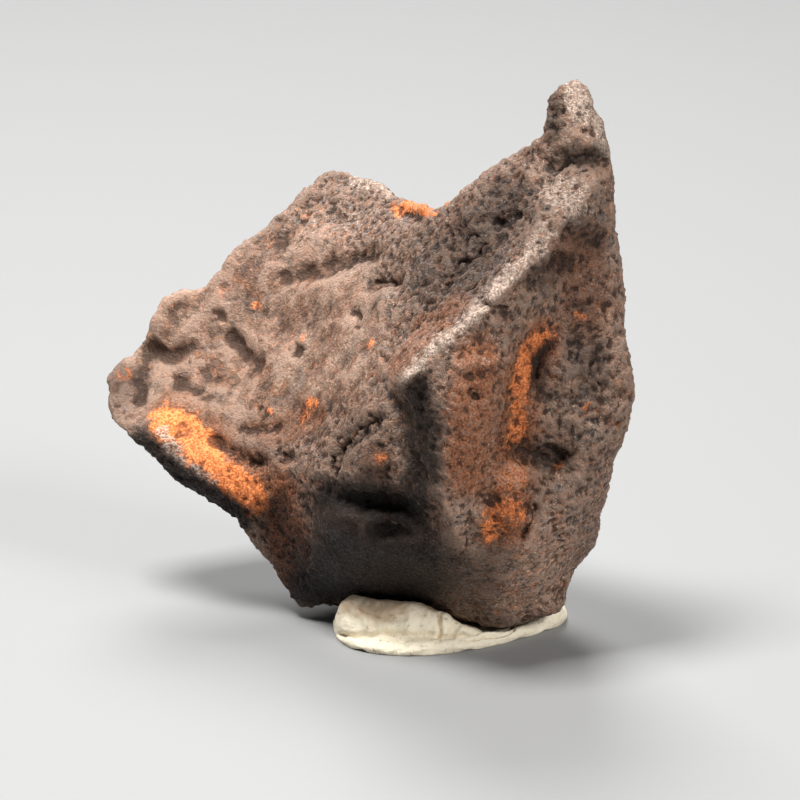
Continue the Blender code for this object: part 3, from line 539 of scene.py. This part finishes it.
def slab_grain(points, normals):
    """The slanting flakes of the slab on the right, in mm of height."""
    seen = to_view(points)
    area = within(seen, SLAB, 1.5, 3.0) * front_share(normals)
    along = seen[:, 0] * math.cos(SLAB_TURN) + seen[:, 1] * math.sin(SLAB_TURN)
    across = -seen[:, 0] * math.sin(SLAB_TURN) + seen[:, 1] * math.cos(SLAB_TURN)
    flakes = np.stack([along / 2.6, across, points[:, 1] * 0.4], axis=1)
    flakes += drift(points, 1.0, (21, 22, 23), 0.2)
    return area * (0.05 - np.abs(noise(flakes, 0.5, 24)) * 0.2)


def texture_height(points, normals):
    return relief(points, normals) + slab_grain(points, normals)


def store(mesh, name, values):
    layer = mesh.attributes.new(name, "FLOAT", "POINT")
    layer.data.foreach_set("value", values.astype(np.float32))


def store_masks(mesh, points, normals):
    """Stores on the vertices what the stone's material reads."""
    seen = to_view(points)
    seen += drift(points, 1.4, (31, 32), 0.35)
    seen += drift(points, 0.45, (33, 34), 0.18)
    front = front_share(normals)
    clouds = noise(points, 3.2, 35) + 0.4 * noise(points, 0.9, 36)
    back_rust = smooth_step(clouds, 0.25, 0.8) * (1.0 - front)
    store(mesh, "rust_bright", patches(seen, RUST_BRIGHT) * front)
    store(mesh, "rust_brown", np.maximum(patches(seen, RUST_BROWN) * front, back_rust * 0.8))
    # Worn crests, and painted highlights on the lit facet and rims.
    store(mesh, "worn_and_highlit", patches(seen, WORN_AND_HIGHLIT) * front)
    # Painted shade under overhangs and in recesses.
    store(mesh, "dark", patches(seen, SHADED_PLACES) * front)
    # Broad tones, with painted light and shade in them.
    store(mesh, "tone_light_and_shade", 1.0 + (tone_light_and_shade(seen) - 1.0) * front)
    store(mesh, "crisp", 1.0 - 0.75 * front * within(seen, WING, 3.5, 6.5))
    # Hollow depths, which steer the painted shade in hollows and the lighter raised bits.
    store(mesh, "hollow_small", hollowness(mesh, 6))
    store(mesh, "hollow_wide", hollowness(mesh, 60))


def joined_copy(node):
    """A copy of a CAD node's mesh in mm, with its split corners joined."""
    mesh = node.data.copy()
    points, _ = read_mesh(mesh)
    write_points(mesh, points / MM)
    return with_modifier(mesh, "WELD", merge_threshold=WELD_GAP)


def make_piece(name, mesh, points, material):
    """An object of a mesh, with its points given in mm."""
    write_points(mesh, points * MM)
    mesh.shade_smooth()
    mesh.materials.clear()
    mesh.materials.append(material)
    piece = bpy.data.objects.new(name, mesh)
    bpy.context.scene.collection.objects.link(piece)
    return piece


def make_stone(node):
    mesh = with_modifier(joined_copy(node), "SUBSURF", levels=2, render_levels=2)
    mesh = with_modifier(mesh, "REMESH", mode="VOXEL", voxel_size=VOXEL)
    raise_points(mesh, forms)
    raise_points(mesh, texture_height)
    triangles = sum(len(face.vertices) - 2 for face in mesh.polygons)
    mesh = with_modifier(mesh, "DECIMATE", ratio=STONE_TRIANGLES / triangles)
    points, normals = read_mesh(mesh)
    store_masks(mesh, points, normals)
    return make_piece("stone_crust", mesh, points, stone_material())


def make_putty(node):
    mesh = with_modifier(joined_copy(node), "SUBSURF", levels=3, render_levels=3)
    points, normals = read_mesh(mesh)
    seen = to_view(points) + drift(points, 0.8, (43, 44), 0.15)
    lift = layered(points, PUTTY_LUMPS)
    for half_width, depth, path in PUTTY_FOLDS.values():
        near = np.clip(1.0 - path_distance(seen, path) / half_width, 0.0, 1.0)
        lift -= depth * near * front_share(normals)
    lift *= smooth_step(points[:, 2], 0.05, 0.35)
    store(mesh, "stain", 0.3 * smooth_step(points[:, 2], 0.9, 1.9))
    return make_piece("putty_dab", mesh, points + normals * lift[:, None], putty_material())


def paint(name):
    """A named colour with full opacity."""
    return (*COLOURS[name], 1.0)


class Nodes:
    """A short way to build a node material. Sizes and depths are in mm."""

    def __init__(self, name):
        self.material = bpy.data.materials.new(name)
        self.material.use_nodes = True
        self.tree = self.material.node_tree
        self.shader = self.tree.nodes["Principled BSDF"]

    def node(self, kind, **settings):
        made = self.tree.nodes.new(kind)
        for name, value in settings.items():
            setattr(made, name, value)
        return made

    def put(self, socket, value):
        if isinstance(value, bpy.types.NodeSocket):
            self.tree.links.new(value, socket)
        else:
            socket.default_value = value

    def attribute(self, name):
        return self.node("ShaderNodeAttribute", attribute_name=name).outputs["Fac"]

    def math(self, operation, a, b):
        made = self.node("ShaderNodeMath", operation=operation)
        self.put(made.inputs[0], a)
        self.put(made.inputs[1], b)
        return made.outputs[0]

    def plus(self, a, b):
        return self.math("ADD", a, b)

    def times(self, a, b):
        return self.math("MULTIPLY", a, b)

    def ramp(self, value, low, high, to_low=0.0, to_high=1.0):
        """A smooth change from to_low to to_high as the value goes from low to high."""
        made = self.node("ShaderNodeMapRange", interpolation_type="SMOOTHSTEP")
        names = ("Value", "From Min", "From Max", "To Min", "To Max")
        for name, number in zip(names, (value, low, high, to_low, to_high)):
            self.put(made.inputs[name], number)
        return made.outputs[0]

    def mix(self, share, a, b):
        made = self.node("ShaderNodeMix", data_type="RGBA")
        self.put(made.inputs[0], share)
        self.put(made.inputs[6], a)
        self.put(made.inputs[7], b)
        return made.outputs[2]

    def over(self, colour, share, name):
        """The colour with a share of a named one laid over it."""
        return self.mix(share, colour, paint(name))

    def scale(self, colour, factor):
        made = self.node("ShaderNodeVectorMath", operation="SCALE")
        self.put(made.inputs[0], colour)
        self.put(made.inputs["Scale"], factor)
        return made.outputs[0]

    def noise(self, size, detail=4.0, roughness=0.6, distortion=0.0):
        place = self.node("ShaderNodeTexCoord").outputs["Object"]
        made = self.node("ShaderNodeTexNoise")
        self.put(made.inputs["Vector"], place)
        self.put(made.inputs["Scale"], 1.0 / (size * MM))
        self.put(made.inputs["Detail"], detail)
        self.put(made.inputs["Roughness"], roughness)
        self.put(made.inputs["Distortion"], distortion)
        return made.outputs[0]

    def bump(self, height, depth):
        made = self.node("ShaderNodeBump")
        self.put(made.inputs["Height"], height)
        self.put(made.inputs["Distance"], depth * MM)
        self.put(made.inputs["Strength"], 1.0)
        return made.outputs[0]


def bare_crust(n, middle):
    """Brown crust with broad lighter, darker and rusty clouds."""
    wide = n.noise(2.8, 3.0)
    dust = n.noise(1.3, 5.0, 0.7, 0.6)
    colour = n.mix(n.ramp(wide, 0.4, 0.6), paint("red_brown"), paint("grey_brown"))
    colour = n.over(colour, n.ramp(middle, 0.45, 0.65, 0.0, 0.6), "tan")
    colour = n.over(colour, n.ramp(wide, 0.52, 0.38, 0.0, 0.45), "deep_brown")
    return n.over(colour, n.ramp(dust, 0.54, 0.68, 0.0, 0.55), "rust_dust")


def speckled(n, colour, grain, crisp):
    """Scales, flecks and grains, with painted shade in the lowest grains, weaker where the surface is
    less crisp.
    """
    scales = n.noise(0.55, 4.0, 0.7, 0.8)
    flecks = n.noise(0.42, 4.0, 0.7, 0.8)
    grains = n.plus(grain, n.times(n.noise(0.24, 4.0, 0.7), 0.8))
    layers = (
        (n.ramp(scales, 0.52, 0.60, 0.0, 0.75), "slate_scale"),
        (n.ramp(scales, 0.46, 0.38, 0.0, 0.7), "pink_scale"),
        (n.ramp(flecks, 0.56, 0.64, 0.0, 0.6), "orange_fleck"),
        (n.ramp(flecks, 0.43, 0.35, 0.0, 0.85), "black_fleck"),
        (n.ramp(grains, 0.99, 1.15), "pale_grain"),
        # The lowest grains get painted shade, as in tiny pits.
        (n.ramp(grains, 0.84, 0.68), "small_hollow_shade"),
    )
    for share, name in layers:
        colour = n.over(colour, n.times(share, crisp), name)
    return n.over(colour, n.ramp(n.attribute("hollow_small"), -0.004, -0.03, 0.0, 0.5), "raised")


def rusted(n, colour, small, grain):
    """Brown stains and bright orange rust, where their masks say."""
    stains = n.times(n.attribute("rust_brown"), n.ramp(small, 0.3, 0.6, 0.45, 1.0))
    brown = n.mix(n.ramp(grain, 0.35, 0.6), paint("brown_rust_dark"), paint("brown_rust_light"))
    colour = n.mix(stains, colour, brown)
    patchy = n.ramp(n.noise(0.5, 4.0, 0.7), 0.3, 0.7, -0.45, 0.3)
    bright = n.ramp(n.plus(n.attribute("rust_bright"), patchy), 0.15, 0.7)
    orange = n.mix(n.ramp(grain, 0.35, 0.62), paint("orange_rust_dark"), paint("orange_rust_light"))
    return n.mix(bright, colour, orange)


def painted_shade(n, colour):
    """Painted shade in the hollows and in the named shaded places."""
    small_hollow_shade = n.ramp(n.attribute("hollow_small"), 0.008, 0.06, 0.0, 0.7)
    wide_hollow_shade = n.ramp(n.attribute("hollow_wide"), 0.05, 0.35, 0.0, 0.5)
    colour = n.over(colour, small_hollow_shade, "small_hollow_shade")
    colour = n.over(colour, wide_hollow_shade, "wide_hollow_shade")
    return n.over(colour, n.times(n.attribute("dark"), 0.88), "under_shade")


def painted_glints(n, colour, middle, crisp):
    """Painted glints: a few tiny bright grains that stand in for highlights, none in the painted
    shade.
    """
    share = n.times(n.ramp(n.noise(0.11, 1.0), 0.72, 0.80, 0.0, 0.8), crisp)
    share = n.times(share, n.ramp(middle, 0.48, 0.62))
    share = n.times(share, n.ramp(n.attribute("dark"), 0.5, 0.1))
    return n.over(colour, share, "painted_glint")


def stone_material():
    n = Nodes("meteorite_crust")
    crisp = n.ramp(n.attribute("crisp"), 0.0, 1.0, 0.3, 1.0)
    middle = n.noise(0.9, 4.0, 0.65)
    small = n.noise(0.3, 3.0, 0.6)
    grain = n.noise(0.13, 3.0, 0.65)
    # Worn metal on the crests, with painted highlights on the lit facet, horn rim and peak rim.
    rubbed_and_highlit = n.plus(n.attribute("worn_and_highlit"), n.ramp(small, 0.35, 0.65, -0.35, 0.25))
    worn_and_highlit = n.ramp(rubbed_and_highlit, 0.2, 0.75)
    metal = n.mix(n.ramp(grain, 0.35, 0.6), paint("metal_dark"), paint("metal_light"))
    colour = speckled(n, bare_crust(n, middle), grain, crisp)
    colour = rusted(n, colour, small, grain)
    colour = n.mix(n.times(worn_and_highlit, 0.85), colour, metal)
    # Painted shade in hollows and under overhangs, then the broad tones, which hold painted light and
    # shade too.
    colour = n.scale(painted_shade(n, colour), n.attribute("tone_light_and_shade"))
    colour = painted_glints(n, colour, middle, crisp)
    n.put(n.shader.inputs["Base Color"], colour)
    n.put(n.shader.inputs["Roughness"], n.ramp(grain, 0.42, 0.62, 0.75, 0.28))
    n.put(n.shader.inputs["Metallic"], n.times(worn_and_highlit, 0.3))
    n.shader.inputs["Specular IOR Level"].default_value = 0.25
    n.put(n.shader.inputs["Normal"], n.bump(n.plus(grain, n.times(small, 1.2)), 0.12))
    return n.material


def putty_material():
    n = Nodes("putty_stained")
    stain = n.ramp(n.plus(n.noise(1.3, 4.0, 0.6), n.attribute("stain")), 0.55, 0.9)
    dirt = n.ramp(n.noise(0.4, 4.0, 0.7), 0.58, 0.70)
    colour = n.over(paint("putty"), n.times(stain, 0.75), "putty_stain")
    colour = n.over(colour, n.times(dirt, 0.6), "putty_dirt")
    n.put(n.shader.inputs["Base Color"], colour)
    n.shader.inputs["Roughness"].default_value = 0.62
    n.put(n.shader.inputs["Normal"], n.bump(n.noise(0.35, 5.0, 0.65), 0.10))
    return n.material


def make_floor():
    corners = [(-1, -1), (1, -1), (1, 1), (-1, 1)]
    mesh = bpy.data.meshes.new("floor")
    mesh.from_pydata([(x * FLOOR_HALF, y * FLOOR_HALF, 0.0) for x, y in corners], [], [(0, 1, 2, 3)])
    floor = bpy.data.objects.new("floor", mesh)
    bpy.context.scene.collection.objects.link(floor)
    n = Nodes("pale_floor")
    n.shader.inputs["Base Color"].default_value = paint("floor")
    n.shader.inputs["Roughness"].default_value = 0.6
    mesh.materials.append(n.material)
    floor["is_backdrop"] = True


def aim(thing, target):
    thing.rotation_euler = (target - thing.location).to_track_quat("-Z", "Y").to_euler()


def make_light(name, direction, size, energy):
    """A square soft light that looks at the stone's middle."""
    target = Vector(LIT_MIDDLE) * MM
    data = bpy.data.lights.new(name, "AREA")
    data.size = size
    data.energy = energy
    light = bpy.data.objects.new(name, data)
    light.location = target + Vector(direction).normalized() * LIGHT_DISTANCE
    aim(light, target)
    bpy.context.scene.collection.objects.link(light)


def make_world():
    world = bpy.data.worlds.new("studio")
    bpy.context.scene.world = world
    world.use_nodes = True
    background = world.node_tree.nodes["Background"]
    background.inputs["Color"].default_value = paint("sky")
    background.inputs["Strength"].default_value = SKY_STRENGTH


def make_camera():
    """The photograph's camera: it looks down by the view's tilt."""
    data = bpy.data.cameras.new("camera")
    data.lens = CAMERA_LENS
    data.sensor_width = CAMERA_SENSOR
    data.clip_start = MM
    camera = bpy.data.objects.new("camera", data)
    across = VIEW_CENTRE_RIGHT - FOOT_RIGHT
    away = VIEW_CENTRE_UP * math.sin(VIEW_TILT) - FOOT_AWAY
    target = Vector((across, away, VIEW_CENTRE_UP * math.cos(VIEW_TILT))) * MM
    back = Vector((0.0, -math.cos(VIEW_TILT), math.sin(VIEW_TILT)))
    camera.location = target + back * VIEW_DISTANCE * MM
    aim(camera, target)
    bpy.context.scene.collection.objects.link(camera)
    bpy.context.scene.camera = camera


def main():
    make_camera()
    make_world()
    for name, (direction, size, energy) in LIGHTS.items():
        make_light(name, direction, size, energy)
    make_floor()
    bpy.context.scene.view_settings.view_transform = "Standard"
    stone = make_stone(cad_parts["meteorite"])
    putty = make_putty(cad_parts["putty"])
    for piece, node in ((stone, "meteorite"), (putty, "putty")):
        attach(piece, "root")
        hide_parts(node)
    low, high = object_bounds()
    size = {
        "frame": [list(corner) for corner in FRAME_BOUNDS],
        "visual": [list(low), list(high)],
    }


main()
